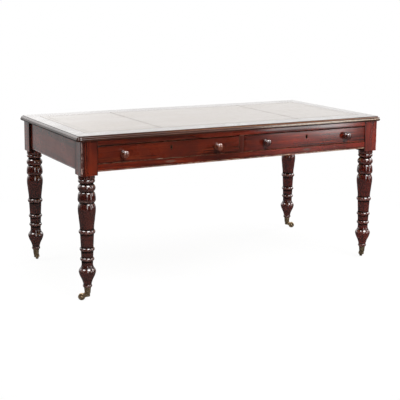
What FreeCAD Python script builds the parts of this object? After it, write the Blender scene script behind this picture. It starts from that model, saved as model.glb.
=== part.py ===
import FreeCAD, Part
import math
import os

# Overall sizes of the desk, in millimetres
desk_height = 760.0
top_length = 1680.0
top_depth = 816.0
top_thickness = 25.0
end_overhang = 21.0
front_overhang = 11.0

# The top: moulded edge, mitred borders, core panel and leather
edge_depth = 12.0
edge_torus_height = 14.0
edge_quirk_depth = 3.0
edge_fillet_height = 2.5
edge_corner_radius = 22.0
ovolo_middle_shares = (0.28, 0.65)
end_border_width = 75.0
long_border_width = 100.0
mitre_reach_share = 1.5
tongue_length = 10.0
tongue_thickness = 8.0
leather_thickness = 1.5
leather_gap = 0.2
centre_leather_share = 0.5

# Square leg blocks with a quirked bead down the outer corner
leg_block = 78.0
block_height = 155.0
corner_bead_radius = 4.2
corner_quirk_width = 1.5

# Turned leg, from the block down: the short members keep their heights
collar_radius = 37.5
collar_height = 16.5
collar_fillet_height = 1.5
upper_bead_radius = 33.0
upper_bead_height = 17.0
upper_bead_projection = 5.0
upper_neck_height = 7.5
upper_neck_hollow = 1.4
torus_seat_radius = 32.0
torus_height = 32.0
torus_projection = 8.0
vase_neck_radius = 31.8
torus_fillet_height = 1.5
cushion_swell = 8.7
vase_swell = 8.7
upper_ring_height = 20.0
upper_ring_projection = 6.2
shaft_top_radius = 31.4
shaft_middle_radius = 28.5
middle_ring_height = 16.0
middle_ring_projection = 5.5
shaft_low_radius = 27.0
lower_ring_height = 16.0
lower_ring_projection = 5.2
peg_neck_radius = 26.0
peg_radius = 38.9
ankle_radius = 18.3
ankle_ring_height = 13.5
ankle_ring_projection = 2.9

# The long members of the leg share out the height that the short ones leave
cushion_share = 0.13
vase_share = 0.33
upper_shaft_share = 0.166
lower_shaft_share = 0.08
peg_share = 1 - cushion_share - vase_share - upper_shaft_share - lower_shaft_share

# Outlines of the shaped members: (share of the height from the top, share of the swell)
cushion_shares = ((0.14, 0.6), (0.31, 0.83), (0.51, 0.95), (0.755, 1.0), (0.92, 0.7), (1, 0))
vase_shares = (
    (0.05, 0.4), (0.08, 0.62), (0.13, 0.83), (0.18, 0.96), (0.26, 1.0), (0.355, 0.94),
    (0.42, 0.83), (0.53, 0.63), (0.67, 0.43), (0.84, 0.12), (0.935, 0.03), (1, 0),
)
# (share of the peg's height, share of the way from its neck to its greatest radius)
peg_flare_shares = (
    (0.165, 0.0), (0.2, 0.04), (0.24, 0.15), (0.31, 0.47), (0.345, 0.72), (0.385, 0.9), (0.45, 1),
)
# (share of the peg's height, share of the way from the ankle to its greatest radius)
peg_taper_shares = (
    (0.52, 0.93), (0.58, 0.84), (0.67, 0.64), (0.74, 0.46), (0.81, 0.29), (0.885, 0.16), (1, 0),
)

# Rails and the divider between the drawers
top_rail_height = 22.0
drawer_opening_height = 84.0
bottom_rail_height = 34.0
front_rail_depth = 50.0
front_rail_setback = 1.0
divider_width = 24.0
divider_tenon_length = 10.0
divider_tenon_thickness = 12.0
side_rail_recess = 9.5
side_rail_thickness = 22.0
rail_bead_radius = 3.5
rail_quirk_width = 1.5
tenon_length = 25.0
tenon_thickness = 10.0
front_tenon_shoulder = 4.0
side_tenon_shoulder = 10.0
fillet_strip_height = 6.0

# Drawers
drawer_length = 560.0
drawer_side_gap = 1.5
drawer_top_gap = 4.5
drawer_bottom_gap = 1.5
running_gap = 0.3
drawer_front_thickness = 20.0
drawer_side_thickness = 12.0
drawer_back_thickness = 10.0
drawer_back_drop = 6.0
drawer_bottom_thickness = 7.0
drawer_bottom_rise = 10.0
groove_depth = 5.0
dovetail_lap = 6.0
dovetail_count = 3
dovetail_neck_share = 0.29
dovetail_end_share = 0.38
front_edge_round = 0.8

# Turned drawer knobs
knob_spacing = 482.0
knob_length = 38.0
knob_head_radius = 17.5
knob_base_radius = 15.0
knob_base_swell = 2.0
knob_neck_radius = 9.0
knob_spigot_radius = 7.0
knob_base_length_share = 0.24
knob_neck_place_share = 0.36
knob_rim_place_share = 0.68
knob_cove_shares = (0.2, 0.4)
knob_dome_shares = ((0.77, 0.95), (0.87, 0.78), (0.945, 0.5), (0.985, 0.24), (1, 0))
knob_flare_shares = ((0.43, 0.3), (0.51, 0.7), (0.59, 0.93))

# Drawer lock, its bolt and the keyhole
lock_width = 64.0
lock_height = 38.0
lock_depth = 10.0
bolt_width = 22.0
bolt_height = 14.0
bolt_thickness = 5.0
bolt_throw = 9.0
bolt_clearance = 0.3
strike_clearance = 1.5
strike_spare_depth = 3.5
keyhole_drop = 22.5
keyhole_radius = 3.2
keyhole_slot_radius = 1.9
keyhole_slot_drop = 10.0
keyhole_depth = 7.0
escutcheon_wall = 1.3

# Runners, guides, kickers, stops, glue blocks and screws inside the carcass
runner_height = 24.0
runner_bearing = 21.0
guide_height = 20.0
guide_gap = 1.0
stop_height = 7.0
stop_depth = 18.0
stop_width = 40.0
stop_spacing = 300.0
glue_block_size = 20.0
glue_block_length = 80.0
glue_block_places_shares = (-0.7, -0.32, 0.32, 0.7)
screw_radius = 2.5
screw_head_radius = 4.5
screw_head_height = 3.0
screw_head_sink = 6.0
screw_bite = 12.0
screw_hole_radius = 5.5
screw_place_shares = (-0.75, 0, 0.75)

# Brass casters
cup_height = 30.0
cup_top_radius = 16.0
cup_base_radius = 13.5
cup_base_round = 3.0
cup_wall = 1.6
cup_floor = 3.0
spigot_fit = 0.2
spigot_end_gap = 1.0
swivel_pin_radius = 4.0
swivel_clearance = 0.06
swivel_end_gap = 0.3
rivet_head_radius = 6.0
rivet_head_height = 2.4
wheel_radius = 16.0
wheel_width = 12.5
wheel_round = 2.0
wheel_side_gap = 1.0
wheel_over_gap = 1.2
caster_trail = 27.0
axle_radius = 2.5
axle_clearance = 0.06
axle_head_radius = 4.2
axle_head_length = 1.8
horn_arm_thickness = 4.0
horn_hub_height = 13.0
horn_eye_radius = 6.0
horn_shoulder_share = 0.6
caster_turns = {"front_left": 151.3, "front_right": 61.3, "back_left": 61.3, "back_right": -28.7}

# Cuts run this far past what they cut
overrun = 5.0

# Heights and places that follow from the sizes above
top_underside = desk_height - top_thickness
block_bottom = top_underside - block_height
opening_top = top_underside - top_rail_height
bottom_rail_top = opening_top - drawer_opening_height
bottom_rail_underside = bottom_rail_top - bottom_rail_height
cup_bottom = 2 * wheel_radius
cup_top = cup_bottom + cup_height

half_length = top_length / 2
half_depth = top_depth / 2
field_x = half_length - end_border_width
field_y = half_depth - long_border_width
leather_underside = desk_height - leather_thickness

block_outer_x = half_length - end_overhang
block_inner_x = block_outer_x - leg_block
block_outer_y = half_depth - front_overhang
block_inner_y = block_outer_y - leg_block
leg_x = block_outer_x - leg_block / 2
leg_y = block_outer_y - leg_block / 2

rail_face_y = -block_outer_y + front_rail_setback
front_rail_back_y = rail_face_y + front_rail_depth
side_rail_outer_x = block_outer_x - side_rail_recess
side_rail_inner_x = side_rail_outer_x - side_rail_thickness
back_rail_outer_y = block_outer_y - side_rail_recess
back_rail_inner_y = back_rail_outer_y - side_rail_thickness

drawer_x = (divider_width / 2 + drawer_side_gap, block_inner_x - drawer_side_gap)
drawer_centre_x = sum(drawer_x) / 2
drawer_front_y = (rail_face_y, rail_face_y + drawer_front_thickness)
drawer_front_z = (bottom_rail_top + drawer_bottom_gap, opening_top - drawer_top_gap)
drawer_box_z = (bottom_rail_top + running_gap, drawer_front_z[1])
drawer_back_y = rail_face_y + drawer_length
drawer_bottom_z = (
    drawer_box_z[0] + drawer_bottom_rise,
    drawer_box_z[0] + drawer_bottom_rise + drawer_bottom_thickness,
)
bolt_y = (
    drawer_front_y[1] - lock_depth / 2 - bolt_thickness / 2,
    drawer_front_y[1] - lock_depth / 2 + bolt_thickness / 2,
)

# The knobs reach past the top, so the desk stands this far back from the origin
front_reach = knob_length - rail_face_y
centre_shift = (front_reach - half_depth) / 2


def vector(x, y, z):
    return FreeCAD.Vector(x, y, z)


def board(x_span, y_span, z_span):
    """A square-edged board between two planes each way."""
    low, high = zip(sorted(x_span), sorted(y_span), sorted(z_span))
    sizes = [end - start for start, end in zip(low, high)]
    return Part.makeBox(sizes[0], sizes[1], sizes[2], vector(*low))


def around(centre, width):
    return (centre - width / 2, centre + width / 2)


def grown(span, amount):
    return (span[0] - amount, span[1] + amount)


def cut_all(shape, tools):
    for tool in tools:
        shape = shape.cut(tool)
    return shape


def mirrored_x(shape):
    return shape.mirror(vector(0, 0, 0), vector(1, 0, 0))


def mirrored_y(shape):
    return shape.mirror(vector(0, 0, 0), vector(0, 1, 0))


def both_sides(shape):
    return [shape, mirrored_x(shape)]


def outline_edges(start, steps):
    """Edges through points: one point makes a line, two an arc, more a smooth curve."""
    edges = []
    here = start
    for step in steps:
        if len(step) == 1:
            edges.append(Part.makeLine(here, step[0]))
        elif len(step) == 2:
            edges.append(Part.Arc(here, step[0], step[1]).toShape())
        else:
            curve = Part.BSplineCurve()
            curve.interpolate([here] + list(step))
            edges.append(curve.toShape())
        here = step[-1]
    if here.distanceToPoint(start) > 0:
        edges.append(Part.makeLine(here, start))
    return edges


def outline_face(start, steps):
    return Part.Face(Part.Wire(outline_edges(start, steps)))


def turned(start_height, steps):
    """A turning about the Z axis. Its outline starts on the axis, in (radius, height) points."""
    points = [[vector(radius, 0, height) for radius, height in step] for step in steps]
    face = outline_face(vector(0, 0, start_height), points)
    return face.revolve(vector(0, 0, 0), vector(0, 0, 1), 360)


def save(name, *solids):
    shape = solids[0] if len(solids) == 1 else Part.makeCompound(list(solids))
    placed = shape.copy()
    placed.translate(vector(0, centre_shift, 0))
    placed.exportStep(os.path.join("parts", name + ".step"))


# The top

def edge_face(place):
    """Section of the moulded edge: a torus, a quirk, an ovolo, and a fillet up to the arris."""
    torus_radius = edge_torus_height / 2
    quirk_height = torus_radius + math.sqrt(torus_radius**2 - (torus_radius - edge_quirk_depth) ** 2)
    ovolo_depth = edge_depth - edge_quirk_depth
    ovolo_top = top_thickness - edge_fillet_height
    ovolo_height = ovolo_top - edge_torus_height
    ovolo_middle = place(
        edge_quirk_depth + ovolo_middle_shares[0] * ovolo_depth,
        edge_torus_height + ovolo_middle_shares[1] * ovolo_height,
    )
    steps = [
        [place(0, torus_radius), place(edge_quirk_depth, quirk_height)],
        [place(edge_quirk_depth, edge_torus_height)],
        [ovolo_middle, place(edge_depth, ovolo_top)],
        [place(edge_depth, top_thickness)],
        [place(edge_corner_radius, top_thickness)],
        [place(edge_corner_radius, 0)],
    ]
    return outline_face(place(torus_radius, 0), steps)


def moulded_slab():
    """The whole top as one slab with its moulded edge, before it is cut into boards."""
    inner_x = half_length - edge_corner_radius
    inner_y = half_depth - edge_corner_radius
    front_face = edge_face(
        lambda inset, rise: vector(-inner_x, inset - half_depth, top_underside + rise)
    )
    end_face = edge_face(
        lambda inset, rise: vector(half_length - inset, -inner_y, top_underside + rise)
    )
    corner_face = edge_face(
        lambda inset, rise: vector(half_length - inset, inner_y, top_underside + rise)
    )
    front = front_face.extrude(vector(2 * inner_x, 0, 0))
    right = end_face.extrude(vector(0, 2 * inner_y, 0))
    corner = corner_face.revolve(vector(inner_x, inner_y, 0), vector(0, 0, 1), 90)
    corners = both_sides(corner) + both_sides(mirrored_y(corner))
    middle = board((-inner_x, inner_x), (-inner_y, inner_y), (top_underside, desk_height))
    return middle.multiFuse([front, mirrored_y(front)] + both_sides(right) + corners).removeSplitter()


def wedge(corners):
    """An upright prism over a list of plan points, taller than the top."""
    points = [vector(x, y, top_underside - overrun) for x, y in corners]
    face = Part.Face(Part.makePolygon(points + points[:1]))
    return face.extrude(vector(0, 0, top_thickness + 2 * overrun))


def tongue():
    middle_z = (top_underside + leather_underside) / 2
    reach_x = field_x + tongue_length
    reach_y = field_y + tongue_length
    return board((-reach_x, reach_x), (-reach_y, reach_y), around(middle_z, tongue_thickness))


def border_boards():
    """The four mitred border boards, each grooved for the core's tongue."""
    slab = moulded_slab()
    far_x = field_x + mitre_reach_share * end_border_width
    far_y = field_y + mitre_reach_share * long_border_width
    field = board((-field_x, field_x), (-field_y, field_y), (top_underside, desk_height))
    front = wedge([(-field_x, -field_y), (field_x, -field_y), (far_x, -far_y), (-far_x, -far_y)])
    right = wedge([(field_x, -field_y), (field_x, field_y), (far_x, far_y), (far_x, -far_y)])
    tools = [field, tongue()]
    front_board = cut_all(slab.common(front), tools)
    right_board = cut_all(slab.common(right), tools)
    return front_board, right_board


def core_panel():
    panel = board((-field_x, field_x), (-field_y, field_y), (top_underside, leather_underside))
    return cut_all(panel.fuse(tongue()).removeSplitter(), top_screws())


def leather_panels():
    seam_x = field_x * centre_leather_share
    y_span = grown((-field_y, field_y), -leather_gap)
    z_span = (leather_underside, desk_height)
    centre = board(grown((-seam_x, seam_x), -leather_gap / 2), y_span, z_span)
    right = board((seam_x + leather_gap / 2, field_x - leather_gap), y_span, z_span)
    return centre, right


# The legs

def leg_block_solid():
    """The right front block, with the quirked bead on its outer corner."""
    radius = corner_bead_radius
    bead_x = block_outer_x - radius
    bead_y = -block_outer_y + radius
    slant = radius * math.sqrt(0.5)
    z = block_bottom
    steps = [
        [vector(block_inner_x, -block_outer_y, z)],
        [vector(bead_x - radius - corner_quirk_width, -block_outer_y, z)],
        [vector(bead_x - radius, bead_y, z)],
        [vector(bead_x + slant, bead_y - slant, z), vector(bead_x, bead_y + radius, z)],
        [vector(block_outer_x, bead_y + radius + corner_quirk_width, z)],
        [vector(block_outer_x, -block_inner_y, z)],
    ]
    face = outline_face(vector(block_inner_x, -block_inner_y, z), steps)
    return face.extrude(vector(0, 0, block_height))


def ring(top, height, end_radius, projection):
    """A round moulding: an arc that stands out from the turning and ends at end_radius."""
    return [(end_radius + projection, top - height / 2), (end_radius, top - height)]


def swelling(top, height, radius, swell, shares):
    return [(radius + swell * out, top - height * down) for down, out in shares]


def leg_turning():
    """The turned part of a leg about the Z axis, from the block down to the caster's spigot."""
    short_members = (
        collar_height, collar_fillet_height, upper_bead_height, upper_neck_height, torus_height,
        torus_fillet_height, upper_ring_height, middle_ring_height, lower_ring_height,
        ankle_ring_height,
    )
    left_over = block_bottom - cup_top - sum(short_members)
    peg_height = peg_share * left_over
    top = block_bottom
    steps = [[(collar_radius, top)]]

    top -= collar_height
    steps += [[(collar_radius, top)], [(upper_bead_radius, top)]]
    top -= collar_fillet_height
    steps.append([(upper_bead_radius, top)])
    steps.append(ring(top, upper_bead_height, upper_bead_radius, upper_bead_projection))
    top -= upper_bead_height
    steps.append(ring(top, upper_neck_height, torus_seat_radius, -upper_neck_hollow))
    top -= upper_neck_height
    steps.append(ring(top, torus_height, torus_seat_radius, torus_projection))
    top -= torus_height
    steps.append([(vase_neck_radius, top)])
    top -= torus_fillet_height
    steps.append([(vase_neck_radius, top)])

    height = cushion_share * left_over
    steps.append(swelling(top, height, vase_neck_radius, cushion_swell, cushion_shares))
    top -= height
    height = vase_share * left_over
    steps.append(swelling(top, height, vase_neck_radius, vase_swell, vase_shares))
    top -= height
    steps.append([(shaft_top_radius, top)])
    steps.append(ring(top, upper_ring_height, shaft_top_radius, upper_ring_projection))
    top -= upper_ring_height + upper_shaft_share * left_over
    steps.append([(shaft_middle_radius, top)])
    steps.append(ring(top, middle_ring_height, shaft_middle_radius, middle_ring_projection))
    top -= middle_ring_height + lower_shaft_share * left_over
    steps.append([(shaft_low_radius, top)])
    steps.append(ring(top, lower_ring_height, shaft_low_radius, lower_ring_projection))
    top -= lower_ring_height
    steps.append([(peg_neck_radius, top)])

    flare = swelling(top, peg_height, peg_neck_radius, peg_radius - peg_neck_radius, peg_flare_shares)
    taper = swelling(top, peg_height, ankle_radius, peg_radius - ankle_radius, peg_taper_shares)
    steps.append(flare + taper)
    top -= peg_height
    steps.append(ring(top, ankle_ring_height, ankle_radius, ankle_ring_projection))

    spigot_top_radius = cup_top_radius - cup_wall - spigot_fit
    spigot_end_radius = cup_base_radius - cup_wall - spigot_fit
    spigot_end = cup_bottom + cup_floor + spigot_end_gap
    steps.append([(spigot_top_radius, cup_top)])
    steps.append([(spigot_end_radius, spigot_end)])
    steps.append([(0, spigot_end)])
    return turned(block_bottom, steps)


def right_front_leg(rails):
    turning = leg_turning()
    turning.translate(vector(leg_x, -leg_y, 0))
    return cut_all(leg_block_solid().fuse(turning).removeSplitter(), rails)


# The rails and what joins them

def beaded_section(length, height, thickness):
    """A board along X with its face to -Y, and a quirked bead along the face's lower edge."""
    radius = rail_bead_radius
    x = -length / 2
    steps = [
        [vector(x, radius, 0)],
        [vector(x, 0, radius), vector(x, radius, 2 * radius)],
        [vector(x, 0, 2 * radius + rail_quirk_width)],
        [vector(x, 0, height)],
        [vector(x, thickness, height)],
    ]
    return outline_face(vector(x, thickness, 0), steps).extrude(vector(length, 0, 0))


def end_tenons(length, height, thickness, shoulder):
    half = length / 2 + tenon_length
    return board((-half, half), around(thickness / 2, tenon_thickness), (shoulder, height - shoulder))


def divider():
    """The upright between the drawers, tenoned into both front rails."""
    y_span = (rail_face_y, front_rail_back_y)
    upright = board(around(0, divider_width), y_span, (bottom_rail_top, opening_top))
    tenons = board(
        around(0, divider_tenon_thickness),
        around(sum(y_span) / 2, front_rail_depth - 2 * divider_tenon_thickness),
        grown((bottom_rail_top, opening_top), divider_tenon_length),
    )
    return upright.fuse(tenons).removeSplitter()


def strike_mortise(centre_x):
    """The hole above a drawer lock that its bolt rises into."""
    reach = bolt_throw - drawer_top_gap + strike_spare_depth
    return board(
        grown(around(centre_x, bolt_width), strike_clearance),
        grown(bolt_y, strike_clearance),
        (opening_top - overrun, opening_top + reach),
    )


def front_top_rail():
    length = 2 * block_inner_x
    rail = board(around(0, length), (0, front_rail_depth), (0, top_rail_height))
    rail = rail.fuse(end_tenons(length, top_rail_height, front_rail_depth, front_tenon_shoulder))
    rail.translate(vector(0, rail_face_y, opening_top))
    tools = [divider(), strike_mortise(drawer_centre_x), strike_mortise(-drawer_centre_x)]
    return cut_all(rail.removeSplitter(), tools)


def front_bottom_rail():
    length = 2 * block_inner_x
    rail = beaded_section(length, bottom_rail_height, front_rail_depth)
    rail = rail.fuse(end_tenons(length, bottom_rail_height, front_rail_depth, front_tenon_shoulder))
    rail.translate(vector(0, rail_face_y, bottom_rail_underside))
    return rail.removeSplitter().cut(divider())


def deep_rail(length, turn, distance):
    """A side or back rail, turned about Z to face outwards, its face at this distance."""
    height = top_underside - bottom_rail_underside
    rail = beaded_section(length, height, side_rail_thickness)
    rail = rail.fuse(end_tenons(length, height, side_rail_thickness, side_tenon_shoulder))
    rail = rail.removeSplitter()
    rail.translate(vector(0, -distance, bottom_rail_underside))
    rail.rotate(vector(0, 0, 0), vector(0, 0, 1), turn)
    return rail


def right_side_rail():
    return deep_rail(2 * block_inner_y, 90, side_rail_outer_x)


def back_rail():
    return deep_rail(2 * block_inner_x, 180, back_rail_outer_y)


def fillet_strips():
    """Thin strips under the top that close the set-back above the side and back rails."""
    z_span = (top_underside - fillet_strip_height, top_underside)
    side = board((side_rail_outer_x, block_outer_x), (-block_inner_y, block_inner_y), z_span)
    back = board((-block_inner_x, block_inner_x), (back_rail_outer_y, block_outer_y), z_span)
    return both_sides(side) + [back]


# The drawers, made for the right-hand opening

def drawer_side(x_span, bottom, back):
    """A side with its dovetails forward, grooved for the bottom and housed for the back."""
    side = board(x_span, (drawer_front_y[1], drawer_back_y), drawer_box_z)
    pitch = (drawer_front_z[1] - drawer_front_z[0]) / dovetail_count
    end_y = drawer_front_y[0] + dovetail_lap
    for index in range(dovetail_count):
        middle = drawer_front_z[0] + pitch * (index + 0.5)
        neck = dovetail_neck_share * pitch
        end = dovetail_end_share * pitch
        points = [
            vector(x_span[0], drawer_front_y[1], middle - neck),
            vector(x_span[0], end_y, middle - end),
            vector(x_span[0], end_y, middle + end),
            vector(x_span[0], drawer_front_y[1], middle + neck),
        ]
        tail = Part.Face(Part.makePolygon(points + points[:1]))
        side = side.fuse(tail.extrude(vector(x_span[1] - x_span[0], 0, 0)))
    return cut_all(side.removeSplitter(), [bottom, back])


def keyhole_prism(y_span, round_radius, slot_radius):
    """A keyhole outline cut along Y: a round hole with a round-ended slot below it."""
    height = drawer_front_z[1] - keyhole_drop
    depth = y_span[1] - y_span[0]
    along = vector(0, 1, 0)
    hole = Part.makeCylinder(round_radius, depth, vector(drawer_centre_x, y_span[0], height), along)
    foot_z = height - keyhole_slot_drop
    foot = Part.makeCylinder(slot_radius, depth, vector(drawer_centre_x, y_span[0], foot_z), along)
    slot = board(around(drawer_centre_x, 2 * slot_radius), y_span, (foot_z, height))
    return hole.multiFuse([slot, foot]).removeSplitter()


def knob():
    """A turned knob about Z, its spigot below zero, then a bead, a neck and a round head."""
    rise = knob_head_radius - knob_neck_radius
    rim_z = knob_rim_place_share * knob_length
    neck_z = knob_neck_place_share * knob_length
    base_z = knob_base_length_share * knob_length
    cove = (
        knob_neck_radius + knob_cove_shares[0] * (knob_base_radius - knob_neck_radius),
        base_z + knob_cove_shares[1] * (neck_z - base_z),
    )
    flare = [(knob_neck_radius + rise * out, knob_length * up) for up, out in knob_flare_shares]
    dome = [(knob_head_radius * out, knob_length * up) for up, out in knob_dome_shares]
    steps = [
        [(knob_spigot_radius, -drawer_front_thickness)],
        [(knob_spigot_radius, 0)],
        [(knob_base_radius, 0)],
        [(knob_base_radius + knob_base_swell, base_z / 2), (knob_base_radius, base_z)],
        [cove, (knob_neck_radius, neck_z)],
        flare + [(knob_head_radius, rim_z)] + dome,
    ]
    return turned(-drawer_front_thickness, steps)


def drawer_knobs():
    knobs = []
    middle_z = sum(drawer_front_z) / 2
    for side in (-1, 1):
        shape = knob()
        shape.rotate(vector(0, 0, 0), vector(1, 0, 0), 90)
        shape.translate(vector(drawer_centre_x + side * knob_spacing / 2, rail_face_y, middle_z))
        knobs.append(shape)
    return knobs


def lock_parts():
    """The lock case, its bolt and the outer box that the case is let into."""
    case_y = (drawer_front_y[1] - lock_depth, drawer_front_y[1])
    case_z = (drawer_front_z[1] - lock_height, drawer_front_z[1])
    outer = board(around(drawer_centre_x, lock_width), case_y, case_z)
    bolt_x = around(drawer_centre_x, bolt_width)
    bolt_bottom = drawer_front_z[1] - bolt_height
    bolt = board(bolt_x, bolt_y, (bolt_bottom, drawer_front_z[1]))
    slot = board(
        grown(bolt_x, bolt_clearance),
        grown(bolt_y, bolt_clearance),
        (bolt_bottom - bolt_clearance, drawer_front_z[1] + overrun),
    )
    key_y = (case_y[0], case_y[0] + keyhole_depth)
    case = cut_all(outer, [slot, keyhole_prism(key_y, keyhole_radius, keyhole_slot_radius)])
    return case, bolt, outer


def right_drawer():
    """Every piece of the right-hand drawer, by name."""
    back = board(
        grown(grown(drawer_x, -drawer_side_thickness), groove_depth),
        (drawer_back_y - drawer_back_thickness, drawer_back_y),
        (drawer_bottom_z[1], drawer_box_z[1] - drawer_back_drop),
    )
    bottom = board(
        grown(grown(drawer_x, -drawer_side_thickness), groove_depth),
        (drawer_front_y[1] - groove_depth, drawer_back_y),
        drawer_bottom_z,
    )
    left_span = (drawer_x[0], drawer_x[0] + drawer_side_thickness)
    right_span = (drawer_x[1] - drawer_side_thickness, drawer_x[1])
    left_side = drawer_side(left_span, bottom, back)
    right_side = drawer_side(right_span, bottom, back)
    knobs = drawer_knobs()
    case, bolt, case_box = lock_parts()
    liner_y = (drawer_front_y[0], drawer_front_y[1] - lock_depth)
    liner_outer = keyhole_prism(
        liner_y, keyhole_radius + escutcheon_wall, keyhole_slot_radius + escutcheon_wall
    )
    liner = liner_outer.cut(keyhole_prism(liner_y, keyhole_radius, keyhole_slot_radius))
    front = board(drawer_x, drawer_front_y, drawer_front_z)
    face_edges = [
        edge for edge in front.Edges
        if edge.BoundBox.YMax < sum(drawer_front_y) / 2
    ]
    front = front.makeFillet(front_edge_round, face_edges)
    front = cut_all(front, [left_side, right_side, bottom, case_box, liner_outer] + knobs)
    return {
        "front": [front],
        "left_side": [left_side],
        "right_side": [right_side],
        "back": [back],
        "bottom": [bottom],
        "knobs": knobs,
        "lock_case": [case],
        "lock_bolt": [bolt],
        "keyhole_liner": [liner],
    }


# Inside the carcass

def lengthwise_bearers(z_span):
    """Three bearers from the front rail to the back rail, the outer two round the leg blocks."""
    y_span = (front_rail_back_y, back_rail_inner_y)
    inner_x = block_inner_x - runner_bearing
    beside_legs = board((inner_x, block_inner_x), y_span, z_span)
    between_legs = board((block_inner_x, side_rail_inner_x), (-block_inner_y, block_inner_y), z_span)
    outer = beside_legs.fuse(between_legs).removeSplitter()
    reach = divider_width / 2 + runner_bearing
    return both_sides(outer) + [board((-reach, reach), y_span, z_span)]


def drawer_runners():
    return lengthwise_bearers((bottom_rail_top - runner_height, bottom_rail_top))


def drawer_guides():
    """Strips on the runners that keep the drawers in line."""
    z_span = (bottom_rail_top, bottom_rail_top + guide_height)
    outer_x = (drawer_x[1] + guide_gap, side_rail_inner_x)
    outer = board(outer_x, (-block_inner_y, block_inner_y), z_span)
    middle_x = grown((-drawer_x[0], drawer_x[0]), -guide_gap)
    middle = board(middle_x, (front_rail_back_y, back_rail_inner_y), z_span)
    return both_sides(outer) + [middle]


def top_screws():
    """Screws up through the kickers into the top, along each of the three kickers."""
    screws = []
    outer_x = block_inner_x - runner_bearing / 2
    head_z = opening_top + screw_head_sink
    for x in (-outer_x, 0, outer_x):
        for share in screw_place_shares:
            steps = [
                [(screw_head_radius, head_z)],
                [(screw_head_radius, head_z + screw_head_height)],
                [(screw_radius, head_z + screw_head_height)],
                [(screw_radius, top_underside + screw_bite)],
                [(0, top_underside + screw_bite)],
            ]
            screw = turned(head_z, steps)
            screw.translate(vector(x, share * block_inner_y, 0))
            screws.append(screw)
    return screws


def kickers():
    """Bearers above the drawers, counterbored from below for the screws into the top."""
    holes = top_screws()
    for screw in top_screws():
        centre = screw.BoundBox.Center
        low = vector(centre.x, centre.y, opening_top - overrun)
        holes.append(Part.makeCylinder(screw_hole_radius, overrun + screw_head_sink, low))
    bearers = lengthwise_bearers((opening_top, top_underside))
    return [cut_all(bearer, holes) for bearer in bearers]


def drawer_stops():
    """Blocks on the bottom rail, behind the drawer fronts and under the drawer bottoms."""
    y_start = drawer_front_y[1] + running_gap
    stops = []
    for side in (-1, 1):
        centre = drawer_centre_x + side * stop_spacing / 2
        stop = board(
            around(centre, stop_width),
            (y_start, y_start + stop_depth),
            (bottom_rail_top, bottom_rail_top + stop_height),
        )
        stops += both_sides(stop)
    return stops


def glue_blocks():
    """Three-cornered blocks that hold the top to the front and back rails."""
    blocks = []
    for share in glue_block_places_shares:
        centre = share * block_inner_x
        for face_y, inward in ((front_rail_back_y, 1), (back_rail_inner_y, -1)):
            x = centre - glue_block_length / 2
            points = [
                vector(x, face_y, top_underside),
                vector(x, face_y + inward * glue_block_size, top_underside),
                vector(x, face_y, top_underside - glue_block_size),
            ]
            face = Part.Face(Part.makePolygon(points + points[:1]))
            blocks.append(face.extrude(vector(glue_block_length, 0, 0)))
    return blocks


# The casters, made with the swivel axis on Z and the wheel trailing along +X

def caster_cup():
    """The brass cup over the leg's spigot, with the swivel pin riveted below the horn."""
    hub_bottom = cup_bottom - swivel_end_gap - horn_hub_height
    head_top = hub_bottom - swivel_end_gap
    head_bottom = head_top - rivet_head_height
    floor_z = cup_bottom + cup_floor
    round_middle = cup_base_round * (1 - math.sqrt(0.5))
    steps = [
        [(rivet_head_radius / 2, head_bottom)],
        [(rivet_head_radius, head_top)],
        [(swivel_pin_radius, head_top)],
        [(swivel_pin_radius, cup_bottom)],
        [(cup_base_radius - cup_base_round, cup_bottom)],
        [
            (cup_base_radius - round_middle, cup_bottom + round_middle),
            (cup_base_radius, cup_bottom + cup_base_round),
        ],
        [(cup_top_radius, cup_top)],
        [(cup_top_radius - cup_wall, cup_top)],
        [(cup_base_radius - cup_wall, floor_z)],
        [(0, floor_z)],
    ]
    return turned(head_bottom, steps)


def horn_arm(inner_y):
    """One cheek of the fork, from the hub out to the axle."""
    top = cup_bottom - swivel_end_gap
    bottom = top - horn_hub_height
    eye_bottom = vector(caster_trail, inner_y, wheel_radius - horn_eye_radius)
    eye_end = vector(caster_trail + horn_eye_radius, inner_y, wheel_radius)
    eye_top = vector(caster_trail, inner_y, wheel_radius + horn_eye_radius)
    steps = [
        [eye_bottom],
        [eye_end, eye_top],
        [vector(horn_shoulder_share * caster_trail, inner_y, top)],
        [vector(0, inner_y, top)],
    ]
    return outline_face(vector(0, inner_y, bottom), steps).extrude(vector(0, horn_arm_thickness, 0))


def caster_horn():
    """The swivelling fork: a hub bored for the pin, and two cheeks beside the wheel."""
    slot_half = wheel_width / 2 + wheel_side_gap
    outer_half = slot_half + horn_arm_thickness
    top = cup_bottom - swivel_end_gap
    bottom = top - horn_hub_height
    hub = Part.makeCylinder(outer_half, horn_hub_height, vector(0, 0, bottom))
    horn = hub.multiFuse([horn_arm(slot_half), horn_arm(-outer_half)]).removeSplitter()
    wheel_space = Part.makeCylinder(
        wheel_radius + wheel_over_gap, 2 * slot_half,
        vector(caster_trail, -slot_half, wheel_radius), vector(0, 1, 0),
    )
    pin_hole = Part.makeCylinder(
        swivel_pin_radius + swivel_clearance, horn_hub_height + 2 * overrun,
        vector(0, 0, bottom - overrun),
    )
    axle_hole = Part.makeCylinder(
        axle_radius + axle_clearance, 2 * outer_half + 2 * overrun,
        vector(caster_trail, -outer_half - overrun, wheel_radius), vector(0, 1, 0),
    )
    return cut_all(horn, [wheel_space, pin_hole, axle_hole])


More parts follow.
